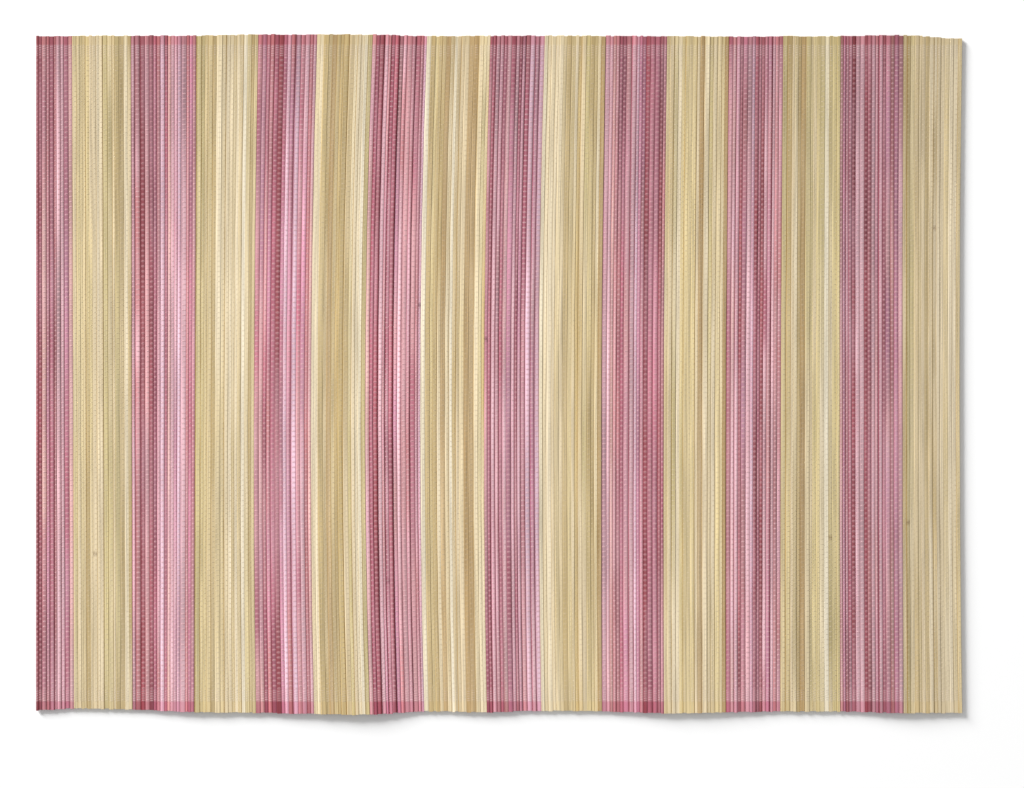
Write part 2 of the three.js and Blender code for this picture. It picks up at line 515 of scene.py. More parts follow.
class GeometryTree(Bench):
    """A geometry node tree whose first input and output are the geometry."""

    def __init__(self, name: str, ins: dict[str, tuple[str, Feed]]) -> None:
        """Makes the tree with its named inputs.

        Args:
            name: the tree's name.
            ins: its inputs after the geometry, as interface() takes them.
        """
        super().__init__(bpy.data.node_groups.new(name, "GeometryNodeTree"))
        interface(self.tree, {"Geometry": ("Geometry", None), **ins}, {"Geometry": "Geometry"})
        self.inputs = self.outs("NodeGroupInput")
        self.result = self.add("NodeGroupOutput").inputs[0]

    def named(self, name: str, kind: str = "FLOAT") -> Term:
        """Reads a named attribute."""
        return self.out("GeometryNodeInputNamedAttribute", (name,), data_type=kind)

    def store(self, geometry: Feed, name: str, value: Feed, kind: str, domain: str = "POINT") -> Term:
        """Writes a named attribute and gives the geometry on."""
        feeds = (geometry, None, name, value)
        return self.out("GeometryNodeStoreNamedAttribute", feeds, data_type=kind, domain=domain)

    def finish_with(self, geometry: Feed, material: Feed) -> None:
        """Ends the tree with a material on its geometry."""
        self.feed(self.result, self.out("GeometryNodeSetMaterial", (geometry, None, material)))

    def apply_to(self, piece: Piece, values: dict[str, Feed]) -> Piece:
        """Runs the tree on a piece and leaves the result as its plain mesh.

        Args:
            piece: the object whose mesh the tree starts from.
            values: the tree's inputs by name.

        Returns:
            The same object with its new mesh and no modifier.
        """
        modifier = piece.modifiers.new(self.tree.name, "NODES")
        modifier.node_group = self.tree
        sockets = {s.name: s.identifier for s in self.tree.interface.items_tree if s.in_out == "INPUT"}
        for name, value in values.items():
            modifier[sockets[name]] = value
        evaluated = piece.evaluated_get(bpy.context.evaluated_depsgraph_get())
        mesh = bpy.data.meshes.new_from_object(evaluated)
        piece.modifiers.remove(modifier)
        piece.data = mesh
        mesh.name = piece.name
        return piece


def placed(name: str, data: bpy.types.ID) -> Piece:
    """An object with what it is made of.

    Args:
        name: the object's name.
        data: its mesh, lamp or camera.

    Returns:
        The object, linked to the scene.
    """
    piece = bpy.data.objects.new(name, data)
    bpy.context.collection.objects.link(piece)
    return piece


def point_piece(name: str, places: Sequence[Vector], facts: Facts) -> Piece:
    """An object of loose points with attributes.

    Args:
        name: the object's name.
        places: the points in metres.
        facts: for each attribute its kind and its values, one for each point.

    Returns:
        The object, linked to the scene.
    """
    mesh = bpy.data.meshes.new(name)
    mesh.from_pydata(places, [], [])
    return linked(name, mesh, facts)


def linked(name: str, mesh: Mesh, facts: Facts) -> Piece:
    """An object with a mesh that has attributes on its points.

    Args:
        name: the object's name.
        mesh: its mesh.
        facts: for each attribute its kind and its values, one for each point.

    Returns:
        The object, linked to the scene.
    """
    fields = {"FLOAT": "value", "INT": "value", "FLOAT_VECTOR": "vector", "FLOAT_COLOR": "color"}
    for label, (kind, values) in facts.items():
        layer = mesh.attributes.new(label, kind, "POINT")
        for item, value in zip(layer.data, values):
            setattr(item, fields[kind], value)
    return placed(name, mesh)


def splint_facts(splints: Sequence[Splint]) -> Facts:
    """The attributes that a splint has, and so has a thread where it passes that splint.

    Args:
        splints: the splint at each point.

    Returns:
        The two tones, the seed, and how the mat lies there in metres, as linked() takes them.
    """
    facts = {
        "tone": ("FLOAT_COLOR", [linear(s.colour) for s in splints]),
        "other_tone": ("FLOAT_COLOR", [linear(s.other) for s in splints]),
        "seed": ("FLOAT", [s.seed for s in splints]),
    }
    for name in ("bow", "lean", "lift"):
        facts[name] = ("FLOAT", [getattr(s.lie, name) * MM for s in splints])
    return facts


@dataclass
class MatLie:
    """Bows, leans and lifts whatever is woven flat, as the whole mat lies.

    lift_tilt is how much more the near end of a wave lifts than its middle, as a share, and sway how
    far the splints wander sideways, in millimetres, over waves of which sway_scale go to a metre.
    """

    plan: WeavePlan
    lift_tilt: float = 0.35
    sway: float = 0.35
    sway_scale: float = 9.0

    def tree(self) -> Tree:
        """The node group, which keeps the woven place of each point in the attribute straight.

        Returns:
            The group, for use in the trees of the splints and the threads.
        """
        half_splint = self.plan.half_splint * MM
        sizes = {"Half splint": half_splint, "Lift tilt": self.lift_tilt, "Sway": self.sway * MM}
        offset = (*self.plan.shift(), 0.0)
        nodes = GeometryTree("mat lie", {**floats(sizes), "Shift": ("Vector", offset)})
        geometry, half, tilt, sway, shift, *_ = nodes.inputs.values()
        place = nodes.out("GeometryNodeInputPosition")
        kept = nodes.store(geometry, "straight", place, "FLOAT_VECTOR")
        along = nodes.parts(place)[1] / half
        bow = nodes.named("bow") * (1.0 - along * along)
        lean = nodes.named("lean") * 0.5 * along
        flat = nodes.scale(place, (1.0, 1.0, 0.0))
        waves = nodes.noise(flat, self.sway_scale, detail=1.0, roughness=0.5)["Fac"]
        sideways = bow + lean + (waves - 0.5) * sway
        lift = nodes.math("MAXIMUM", nodes.named("lift"), 0.0) * (1.0 - tilt * along)
        move = nodes.plus(nodes.vector(sideways, 0.0, lift), shift)
        nodes.feed(nodes.result, nodes.out("GeometryNodeSetPosition", (kept, None, None, move)))
        return nodes.tree


@dataclass
class SplintWeft:
    """The splints: one piece for each stripe, every splint a closed bar of bamboo.

    lie is the node group that bows, leans and lifts the mat. In millimetres, underside is how high
    over the table a splint begins, thread_rises how far a thread rises over it, and gap how far apart
    two splints are. outline is half the section of a splint as shares of its width and thickness,
    steps how many faces it has along its length, and rows how much of its map's height each of its
    sides takes, with cap_rows for its ends.
    """

    plan: WeavePlan
    lie: Tree
    underside: float = 0.22
    thread_rises: dict[Dye, float] = field(
        default_factory=lambda: {Dye.ROSE: 0.15, Dye.NATURAL: 0.1}
    )
    gap: float = 0.01
    outline: tuple[tuple[float, float], ...] = ((0.4, 0.0), (0.5, 0.3), (0.497, 0.94), (0.42, 1.0))
    steps: int = 7
    rows: tuple[float, ...] = (0.12, 0.06, 0.08, 0.2, 0.22, 0.2, 0.08, 0.02)
    cap_rows: float = 0.01

    def section(self) -> list[tuple[float, float]]:
        """The section of a splint that is 1 wide and 1 thick, as X and Z, from its bottom left."""
        first, *rest = self.outline
        return [(-first[0], first[1]), first, *rest, *((-x, z) for x, z in reversed(rest))]

    def pattern(self, dye: Dye) -> Piece:
        """A splint 1 long, 1 wide and 1 thick, from which the tree makes the others.

        Args:
            dye: the kind of splint; a natural one is flat on top, a rose one is rounded.

        Returns:
            The object, which is left out of the finished scene.
        """
        shape = bmesh.new()
        map_layer = shape.loops.layers.uv.new("OFBake")
        section = self.section()
        rings = [
            [shape.verts.new((x, step / self.steps - 0.5, z)) for x, z in section]
            for step in range(self.steps + 1)
        ]
        low = 0.0
        for side, share in enumerate(self.rows):
            following = (side + 1) % len(section)
            for step in range(self.steps):
                near, far = rings[step], rings[step + 1]
                face = shape.faces.new((near[side], near[following], far[following], far[side]))
                face.smooth = True
                u, wide = step / self.steps, 1 / self.steps
                spots = ((u, low), (u, low + share), (u + wide, low + share), (u + wide, low))
                for loop, spot in zip(face.loops, spots):
                    loop[map_layer].uv = spot
            low += share
        for end, ring in enumerate((rings[0][::-1], rings[-1])):
            face = shape.faces.new(ring)
            for loop in face.loops:
                x, _, z = loop.vert.co
                loop[map_layer].uv = ((x + 0.5 + end) / 2, low + self.cap_rows * (1 + z))
            for edge in face.edges:
                edge.smooth = False
        for edge in shape.edges:
            start, end = (vertex.co for vertex in edge.verts)
            if dye is Dye.NATURAL and start.z == end.z == 1.0 and start.x == end.x:
                edge.smooth = False
        bmesh.ops.recalc_face_normals(shape, faces=shape.faces)
        mesh = bpy.data.meshes.new("splint_pattern")
        shape.to_mesh(mesh)
        shape.free()
        across = [2 * vertex.co.x for vertex in mesh.vertices]
        return linked("splint_pattern", mesh, {"across": ("FLOAT", across)})

    def tree(self) -> GeometryTree:
        """The tree that lays a splint on every point of a stripe.

        Returns:
            The tree.
        """
        ins = {"Splint": ("Object", None), "Splints": ("Float", 1.0), "Finish": ("Material", None)}
        nodes = GeometryTree("splints of a stripe", ins)
        points, pattern, count, finish, *_ = nodes.inputs.values()
        feeds = {
            "Points": points,
            "Instance": nodes.outs("GeometryNodeObjectInfo", (pattern,))["Geometry"],
            "Rotation": nodes.named("tilt", "FLOAT_VECTOR"),
            "Scale": nodes.named("size", "FLOAT_VECTOR"),
        }
        laid = nodes.out("GeometryNodeInstanceOnPoints", feeds)
        laid = nodes.out("GeometryNodeRealizeInstances", (laid,))
        u, v, _ = nodes.parts(nodes.named("OFBake", "FLOAT_VECTOR"))
        spot = nodes.vector(u, (v + nodes.named("row")) / count)
        laid = nodes.store(laid, "OFBake", spot, "FLOAT2", "CORNER")
        laid = nodes.out("GeometryNodeGroup", {"Geometry": laid}, node_tree=self.lie)
        nodes.finish_with(laid, finish)
        return nodes

    def facts(self, splints: Sequence[Splint]) -> Facts:
        """The attributes of the points on which splints are laid.

        Args:
            splints: the splints of one stripe.

        Returns:
            The attributes, as linked() takes them.
        """
        tops = [s.crest - self.thread_rises[STRIPES[s.stripe].dye] for s in splints]
        sizes = [
            (s.width - self.gap, s.far - s.near, top - self.underside) for s, top in zip(splints, tops)
        ]
        return {
            "size": ("FLOAT_VECTOR", [Vector(size) * MM for size in sizes]),
            "number": ("FLOAT", [float(s.number) for s in splints]),
            "tilt": ("FLOAT_VECTOR", [(0.0, s.tilt, 0.0) for s in splints]),
            "row": ("FLOAT", [float(row) for row in range(len(splints))]),
            **splint_facts(splints),
        }

    def build(self, finishes: dict[Dye, Material]) -> list[Piece]:
        """Builds and dresses the stripes.

        Args:
            finishes: the material for each kind of splint.

        Returns:
            One piece for each stripe, from left to right.
        """
        nodes = self.tree()
        patterns = {dye: self.pattern(dye) for dye in Dye}
        pieces = []
        for number, stripe in enumerate(STRIPES):
            splints = [s for s in self.plan.splints if s.stripe == number]
            places = [Vector((s.middle, (s.near + s.far) / 2, self.underside)) * MM for s in splints]
            name = f"{stripe.dye.name.lower()}_stripe_{number + 1:02d}"
            values = {
                "Splint": patterns[stripe.dye],
                "Splints": float(len(splints)),
                "Finish": finishes[stripe.dye],
            }
            piece = point_piece(name, places, self.facts(splints))
            pieces.append(nodes.apply_to(piece, values))
        for pattern in patterns.values():
            bpy.data.objects.remove(pattern)
        return pieces


@dataclass
class ThreadWarp:
    """The threads: closed tubes along X that pass over one splint and under the next.

    lie is the node group that bows, leans and lifts the mat. In millimetres, pitch is how far apart
    the threads are, far_bare and near_bare how far the splints reach past them, band how wide the
    dense band at either end is, and under_height and cut_height how high a thread lies under a
    splint and at its own ends. float_share is how far it runs level over a splint, either way, as a
    share of the splint's width. The covers are how much of its own pale colour it keeps, in full
    over splints as light as pale. map_seam tells the last side of the tube from the first.
    """

    plan: WeavePlan
    lie: Tree
    radius: float = 0.14
    pitch: float = 1.25
    far_bare: float = 4.1
    near_bare: float = 5.3
    band: float = 5.7
    band_threads: int = 10
    float_share: float = 0.28
    under_height: float = 0.075
    cut_height: float = 0.72
    blocks: int = 5
    sides: int = 3
    covers: dict[Dye, float] = field(default_factory=lambda: {Dye.ROSE: 0.7, Dye.NATURAL: 0.35})
    band_cover: float = 0.6
    pale: float = 0.68
    map_seam: float = -0.25

    def __post_init__(self) -> None:
        """Finds where the threads between the two bands begin, and how far apart they are."""
        half = self.plan.half_splint
        self.body_start = -half + self.near_bare + self.band
        stretch = half - self.far_bare - self.band - self.body_start
        self.body_threads = round(stretch / self.pitch)
        self.body_step = stretch / self.body_threads

    def rows(self) -> list[float]:
        """The place of every thread along Y.

        Returns:
            The places in millimetres, from the near to the far end.
        """
        half = self.plan.half_splint
        step = self.band / self.band_threads
        near_band = [-half + self.near_bare + step * (i + 0.5) for i in range(self.band_threads)]
        far_band = [half - self.far_bare - step * (i + 0.5) for i in range(self.band_threads)]
        body = [self.body_start + self.body_step * (i + 0.5) for i in range(self.body_threads)]
        return [*near_band, *body, *reversed(far_band)]

    def path(self, parity: int) -> Piece:
        """The way of one thread across the whole mat, along Y at 0.

        Args:
            parity: 0 for a thread that passes over the first splint, 1 for one that passes under it.

        Returns:
            A mesh of points and edges that lie as the mat does at each point.
        """
        splints = self.plan.splints
        first, last = splints[0], splints[-1]
        spots = [(first.middle - first.width / 2, self.cut_height, first)]
        for number, splint in enumerate(splints):
            over = (number + parity) % 2 == 0
            height = splint.crest - self.radius if over else self.under_height
            reach = self.float_share * splint.width
            for x in (splint.middle - reach, splint.middle + reach):
                spots.append((x, height, splint))
        spots.append((last.middle + last.width / 2, self.cut_height, last))
        mesh = bpy.data.meshes.new("thread_path")
        places = [Vector((x, 0, z)) * MM for x, z, *_ in spots]
        mesh.from_pydata(places, [(i, i + 1) for i in range(len(places) - 1)], [])
        facts = splint_facts([splint for *_, splint in spots])
        facts["cover"] = ("FLOAT", [self.cover(splint) for *_, splint in spots])
        return linked(f"thread_path_{parity}", mesh, facts)

    def cover(self, splint: Splint) -> float:
        """How much of its own pale colour a thread keeps over a splint; a dark one stains it more."""
        paleness = min(1.0, sum(splint.colour) / len(splint.colour) / self.pale)
        return self.covers[STRIPES[splint.stripe].dye] * paleness**2

    def tree(self) -> GeometryTree:
        """The tree that spins a thread through every point of a block of threads.

        Returns:
            The tree.
        """
        ins = {
            "Over first": ("Object", None),
            "Under first": ("Object", None),
            "Radius": ("Float", self.radius * MM),
            "Threads": ("Float", 1.0),
            "Finish": ("Material", None),
        }
        nodes = GeometryTree("threads of a block", ins)
        points, over, under, radius, count, finish, *_ = nodes.inputs.values()
        join = nodes.add("GeometryNodeJoinGeometry")
        for path in (under, over):
            line = nodes.outs("GeometryNodeObjectInfo", (path,))["Geometry"]
            curve = nodes.out("GeometryNodeMeshToCurve", (line,))
            nodes.feed(join.inputs[0], nodes.out("GeometryNodeGeometryToInstance", (curve,)))
        feeds = {
            "Points": points,
            "Instance": Term(nodes, join.outputs[0]),
            "Pick Instance": True,
            "Instance Index": nodes.named("parity", "INT"),
        }
        laid = nodes.out("GeometryNodeInstanceOnPoints", feeds)
        laid = nodes.out("GeometryNodeRealizeInstances", (laid,))
        laid = nodes.store(laid, "run", nodes.out("GeometryNodeSplineParameter"), "FLOAT")
        laid = nodes.out("GeometryNodeGroup", {"Geometry": laid}, node_tree=self.lie)
        curves = nodes.out("GeometryNodeSetCurveNormal", (laid,), mode="Z_UP")
        circle = {"Resolution": self.sides, "Radius": radius}
        ring = nodes.out("GeometryNodeCurvePrimitiveCircle", circle)
        turn = nodes.out("GeometryNodeInputIndex") / float(self.sides)
        ring = nodes.store(ring, "turn", turn, "FLOAT")
        ring = nodes.out("GeometryNodeTransform", (ring, None, (0.0, 0.0, -math.pi / 2)))
        tube = nodes.out("GeometryNodeCurveToMesh", (curves, ring, 1.0, True))
        tube = nodes.store(tube, "OFBake", self.map_place(nodes, count), "FLOAT2", "CORNER")
        nodes.finish_with(nodes.out("GeometryNodeSetShadeSmooth", (tube,)), finish)
        return nodes

    def map_place(self, nodes: GeometryTree, count: Term) -> Term:
        """Where each face corner lies on the map: along the thread, and round it in the thread's row.

        Args:
            nodes: the tree.
            count: the number of threads in the block.

        Returns:
            The place as a vector.
        """
        turn = nodes.named("turn")
        middle = nodes.out("GeometryNodeFieldOnDomain", (turn,), domain="FACE")
        behind = nodes.math("LESS_THAN", turn - middle, self.map_seam)
        return nodes.vector(nodes.named("run"), (turn + behind + nodes.named("row")) / count)

    def build(self, finish: Material) -> list[Piece]:
        """Builds and dresses the threads.

        Args:
            finish: the material of the thread.

        Returns:
            One piece for each block of threads, from the near to the far end.
        """
        nodes = self.tree()
        paths = {"Over first": self.path(0), "Under first": self.path(1)}
        rows = self.rows()
        in_body = range(self.band_threads, len(rows) - self.band_threads)
        cuts = [round(len(rows) * block / self.blocks) for block in range(self.blocks + 1)]
        pieces = []
        for block, (start, end) in enumerate(zip(cuts, cuts[1:])):
            numbers = range(start, end)
            facts = {
                "parity": ("INT", [number % 2 for number in numbers]),
                "row": ("FLOAT", [float(number - start) for number in numbers]),
                "banded": ("FLOAT", [float(number not in in_body) for number in numbers]),
            }
            places = [Vector((0, rows[number], 0)) * MM for number in numbers]
            values = {**paths, "Threads": float(end - start), "Finish": finish}
            piece = point_piece(f"warp_threads_{block + 1}", places, facts)
            pieces.append(nodes.apply_to(piece, values))
        for path in paths.values():
            bpy.data.objects.remove(path)
        return pieces


class ShaderBench(Bench):
    """Works on a tree of shader nodes."""

    def fact(self, name: str, part: str = "Fac") -> Term:
        """An attribute of the mesh as a value, or as a Color or a Vector."""
        return self.outs("ShaderNodeAttribute", attribute_name=name)[part]

    def along(self) -> Term:
        """How far along Y a place of the flat weave lies, in millimetres."""
        return self.parts(self.fact("straight", "Vector"))[1] / MM

    def channels(self, colour: Feed) -> list[Term]:
        """The red, green and blue of a colour."""
        return list(self.outs("ShaderNodeSeparateColor", (colour,)).values())

    def dice(self) -> list[Term]:
        """Three random values from 0 to 1 for each splint."""
        noise = self.outs("ShaderNodeTexWhiteNoise", (self.fact("seed"),), noise_dimensions="1D")
        return self.channels(noise["Color"])

    def mix(self, share: Feed, first: Feed, second: Feed, blend: str = "MIX") -> Term:
        """Mixes two colours.

        Args:
            share: how much of the second colour is taken.
            first: the colour underneath.
            second: the colour on top.
            blend: Blender's name for the way of mixing.

        Returns:
            The mixed colour.
        """
        feeds = (share, first, second)
        return self.out("ShaderNodeMix", feeds, data_type="RGBA", blend_type=blend)

    def shade(self, colour: Feed, value: Feed) -> Term:
        """A colour made lighter or darker by a value around 1."""
        return self.scale(colour, self.vector(value, value, value))


class ShaderTree(ShaderBench):
    """A shader node group that puts out colours, masks or values."""

    def __init__(self, name: str, sizes: dict[str, float], *outs: str) -> None:
        """Makes the group.

        Args:
            name: the group's name.
            sizes: its inputs, each with its usual value.
            outs: the names of its outputs; Colour is a colour and the others are values.
        """
        super().__init__(bpy.data.node_groups.new(name, "ShaderNodeTree"))
        kinds = {out: "Color" if out == "Colour" else "Float" for out in outs}
        interface(self.tree, floats(sizes), kinds)
        self.inputs = self.outs("NodeGroupInput")
        self.result = self.add("NodeGroupOutput").inputs

    def give(self, *values: Feed) -> Tree:
        """Joins the group's outputs.

        Args:
            values: what each output gives, in order.

        Returns:
            The finished group.
        """
        for socket, value in zip(self.result, values):
            self.feed(socket, value)
        return self.tree


@dataclass(frozen=True)
class WeaveEffects:
    """The effects that the materials of the weave share, each a shader node group.

    fibre_stretch is how much slower the fibres change along a splint than across it. The seed steps
    are how far apart in the noise two splints may lie, and dye_turn is the range of the noise over
    which one tone turns into the other. cut_blur is how softly, in millimetres, a tint begins where
    the threads end. shown is the range of a splint's random strength over which its painted flank
    shade comes out, and joint_reach how far from the middle a joint may lie, as a share of half a
    splint.
    """

    warp: ThreadWarp
    fibre_stretch: float = 0.012
    fibre_seed_steps: float = 37.0
    dye_seed_steps: float = 91.0
    dye_turn: tuple[float, float] = (0.4, 0.6)
    cut_blur: float = 0.4
    shown: tuple[float, float] = (0.3, 0.8)
    joint_reach: float = 0.9

    def grain(self) -> Tree:
        """Fibres along the splint.

        Returns:
            The group, which gives a shade around 1 and a height for the bump.
        """
        nodes = ShaderTree("bamboo grain", {"Contrast": 0.1, "Fibre width": 0.2}, "Shade", "Height")
        contrast, width, *_ = nodes.inputs.values()
        across = nodes.math("DIVIDE", 1.0, width * MM)
        place = nodes.scale(nodes.fact("straight", "Vector"), (1.0, self.fibre_stretch, 1.0))
        place = nodes.scale(place, nodes.vector(across, across, across))
        place = nodes.plus(place, nodes.vector(0.0, 0.0, nodes.fact("seed") * self.fibre_seed_steps))
        fibres = nodes.noise(place, scale=1.0, detail=3.0, roughness=0.6)["Fac"]
        return nodes.give((fibres - 0.5) * 2.0 * contrast + 1.0, fibres)

    def dye(self) -> Tree:
        """The colour of a splint, which fades to its other tone and back along its length.

        Returns:
            The group, whose Scale is how many fades go to a metre.
        """
        nodes = ShaderTree("splint colour", {"Scale": 11.0, "Wander": 0.3}, "Colour")
        scale, wander, *_ = nodes.inputs.values()
        y = nodes.parts(nodes.fact("straight", "Vector"))[1]
        line = nodes.vector(nodes.fact("seed") * self.dye_seed_steps, y * scale, 0.0)
        noise = nodes.noise(line, scale=1.0, detail=2.0, roughness=0.5)
        first, second, _ = nodes.channels(noise["Color"])
        fade = nodes.spread(first, *self.dye_turn, 0.0, 1.0)
        colour = nodes.mix(fade, nodes.fact("tone", "Color"), nodes.fact("other_tone", "Color"))
        return nodes.give(nodes.shade(colour, (second - 0.5) * wander * 2.0 + 1.0))

    def ends(self) -> Tree:
        """Masks of the bare ends past the threads, and of the stretch that fades to the far end.

        Returns:
            The group, whose Fade is how long that stretch is in millimetres.
        """
        half = self.warp.plan.half_splint
        nodes = ShaderTree("splint ends", {"Fade": 120.0}, "Far bare", "Near bare", "Far")
        y = nodes.along()
        blur = self.cut_blur
        cuts = ((half - self.warp.far_bare, blur), (self.warp.near_bare - half, -blur))
        bare = [nodes.spread(y, edge - side, edge + side, 0.0, 1.0) for edge, side in cuts]
        return nodes.give(*bare, nodes.spread((half - y) / nodes.inputs["Fade"], 0.0, 1.0, 1.0, 0.0))

    def painted_flank_shade(self) -> Tree:
        """Painted shade along a splint's sides where splints meet, stronger on some splints or on one
        side.

        Returns:
            The group, which gives a mask. Start is how far from the middle of a splint it begins,
            and Least how strong it is on the splint that shows it least.
        """
        sizes = {"Start": 0.35, "Lopsided": 0.6, "Least": 0.25}
        nodes = ShaderTree("splint flanks", sizes, "Mask")
        start, lopsided, least, *_ = nodes.inputs.values()
        _, side, strength = nodes.dice()
        off = nodes.math("ABSOLUTE", nodes.fact("across") + (side - 0.5) * lopsided)
        mask = nodes.spread(off, start, 1.0, 0.0, 1.0)
        return nodes.give(mask * nodes.spread(strength, *self.shown, least, 1.0))

    def fuzz(self) -> Tree:
        """The soft spots where threads pass over a splint, and the haze of the dense bands.

        Returns:
            The group, which gives a mask. Reach is half the length of a spot in millimetres, Width
            half its width as a share of half the splint's, and In bands how strong the haze is.
        """
        warp = self.warp
        nodes = ShaderTree("thread fuzz", {"Reach": 0.7, "Width": 1.1, "In bands": 0.4}, "Mask")
        reach, width, in_bands, *_ = nodes.inputs.values()
        y = nodes.along()
        row = (y - warp.body_start) / warp.body_step
        first_over = 0.25 + warp.band_threads % 2 / 2
        turn = nodes.math("FRACT", (row + nodes.fact("number")) * 0.5 + first_over)
        along = (turn - 0.5) * (2 * warp.body_step) / reach
        across = nodes.fact("across") / width
        spot = nodes.math("MAXIMUM", 1.0 - (along * along + across * across), 0.0)
        half_body = warp.body_step * warp.body_threads / 2
        from_middle = nodes.math("ABSOLUTE", y - (warp.body_start + half_body))
        body = nodes.math("LESS_THAN", from_middle, half_body)
        woven = nodes.math("LESS_THAN", from_middle, half_body + warp.band)
        return nodes.give(spot * body + (woven - body) * in_bands)

    def joints(self) -> Tree:
        """The marks where a splint crosses a joint of the bamboo.

        Returns:
            The group, which gives a mask. Share is how many of the splints have a mark, and Length
            half the length of a mark in millimetres.
        """
        nodes = ShaderTree("bamboo joints", {"Share": 0.2, "Length": 1.8}, "Mask")
        share, length, *_ = nodes.inputs.values()
        place, chance, _ = nodes.dice()
        at = (place - 0.5) * (2 * self.joint_reach * self.warp.plan.half_splint)
        near = 1.0 - nodes.math("ABSOLUTE", nodes.along() - at) / length
        there = nodes.math("LESS_THAN", chance, share)
        return nodes.give(nodes.math("MAXIMUM", near, 0.0) * there)


class Finish(ShaderBench):
    """The nodes of one material round its Principled BSDF."""

    def __init__(self, name: str) -> None:
        """Makes the material.

        Args:
            name: the material's name.
        """
        self.material = bpy.data.materials.new(name)
        self.material.use_nodes = True
        super().__init__(self.material.node_tree)
        self.shader = next(n for n in self.tree.nodes if n.type == "BSDF_PRINCIPLED")

    def group(self, tree: Tree, **values: float) -> dict[str, Term]:
        """Places a node group.

        Args:
            tree: the group.
            values: its inputs that differ from the usual, by name in small letters.

        Returns:
            The group's outputs by name.
        """
        feeds = {name.replace("_", " ").capitalize(): value for name, value in values.items()}
        return self.outs("ShaderNodeGroup", feeds, node_tree=tree)

    def bump(self, height: Feed, strength: float, distance: float) -> None:
        """Raises the surface by a height, over a distance in millimetres."""
        normal = self.out("ShaderNodeBump", (strength, distance * MM, None, height))
        self.feed(self.shader.inputs["Normal"], normal)


@dataclass(frozen=True)
class BambooFinish:
    """The surface of one kind of splint.

    fibre_width is in millimetres, fades how many fades go to a metre of splint, and wander how far
    its shade strays on the way. The painted shade of the flanks, the ends and far_fade tint the
    colour, while the fuzz, marks and bloom mix their own colour in.
    """

    name: str
    effects: WeaveEffects
    contrast: float
    fibre_width: float
    fades: float
    wander: float
    # The painted shade along the splint's sides where it meets the next splint: its tint, where it
    # starts and how faint it may be.
    flank_shade_tint: Colour
    flank_shade_from: float
    flank_shade_least: float
    fuzz_colour: Colour
    fuzz: float
    far_end: Colour
    near_end: Colour
    far_fade: Colour
    mark_colour: Colour
    mark_share: float
    bloom_colour: Colour
    bloom: float
    roughness: tuple[float, float]
    specular: float
    cloud_scale: tuple[float, float, float] = (110.0, 9.0, 0.0)
    cloud_range: tuple[float, float] = (0.45, 0.7)
    mark_strength: float = 0.6
    fibre_range: tuple[float, float] = (0.3, 0.7)
    bump_strength: float = 0.4
    bump_depth: float = 0.08

    def material(self) -> Material:
        """Builds the material.

        Returns:
            The material, which reads the splint's own attributes.
        """
        nodes = Finish(self.name)
        effects = self.effects
        grain = nodes.group(effects.grain(), contrast=self.contrast, fibre_width=self.fibre_width)
        dye = nodes.group(effects.dye(), scale=self.fades, wander=self.wander)
        painted_flank_shade = nodes.group(effects.painted_flank_shade(), start=self.flank_shade_from, least=self.flank_shade_least)
        fuzz = nodes.group(effects.fuzz())
        ends = nodes.group(effects.ends())
        marks = nodes.group(effects.joints(), share=self.mark_share)
        place = nodes.scale(nodes.fact("straight", "Vector"), self.cloud_scale)
        clouds = nodes.noise(place, scale=1.0, detail=3.0, roughness=0.6)["Fac"]
        cloud = nodes.spread(clouds, *self.cloud_range, 0.0, 1.0) * self.bloom
        colour = nodes.mix(cloud, dye["Colour"], linear(self.bloom_colour))
        colour = nodes.shade(colour, grain["Shade"])
        colour = nodes.mix(fuzz["Mask"] * self.fuzz, colour, linear(self.fuzz_colour))
        # The first tint is painted shade along the sides of each splint, where neighbouring splints
        # meet.
        tints = (
            (painted_flank_shade["Mask"], self.flank_shade_tint),
            (ends["Far"], self.far_fade),
            (ends["Far bare"], self.far_end),
            (ends["Near bare"], self.near_end),
        )
        for mask, tint in tints:
            colour = nodes.mix(mask, colour, linear(tint), "MULTIPLY")
        colour = nodes.mix(marks["Mask"] * self.mark_strength, colour, linear(self.mark_colour))
        nodes.feed(nodes.shader.inputs["Base Color"], colour)
        rough = nodes.spread(grain["Height"], *self.fibre_range, *self.roughness)
        nodes.feed(nodes.shader.inputs["Roughness"], rough)
        nodes.shader.inputs["Specular IOR Level"].default_value = self.specular
        nodes.bump(grain["Height"], self.bump_strength, self.bump_depth)
        return nodes.material


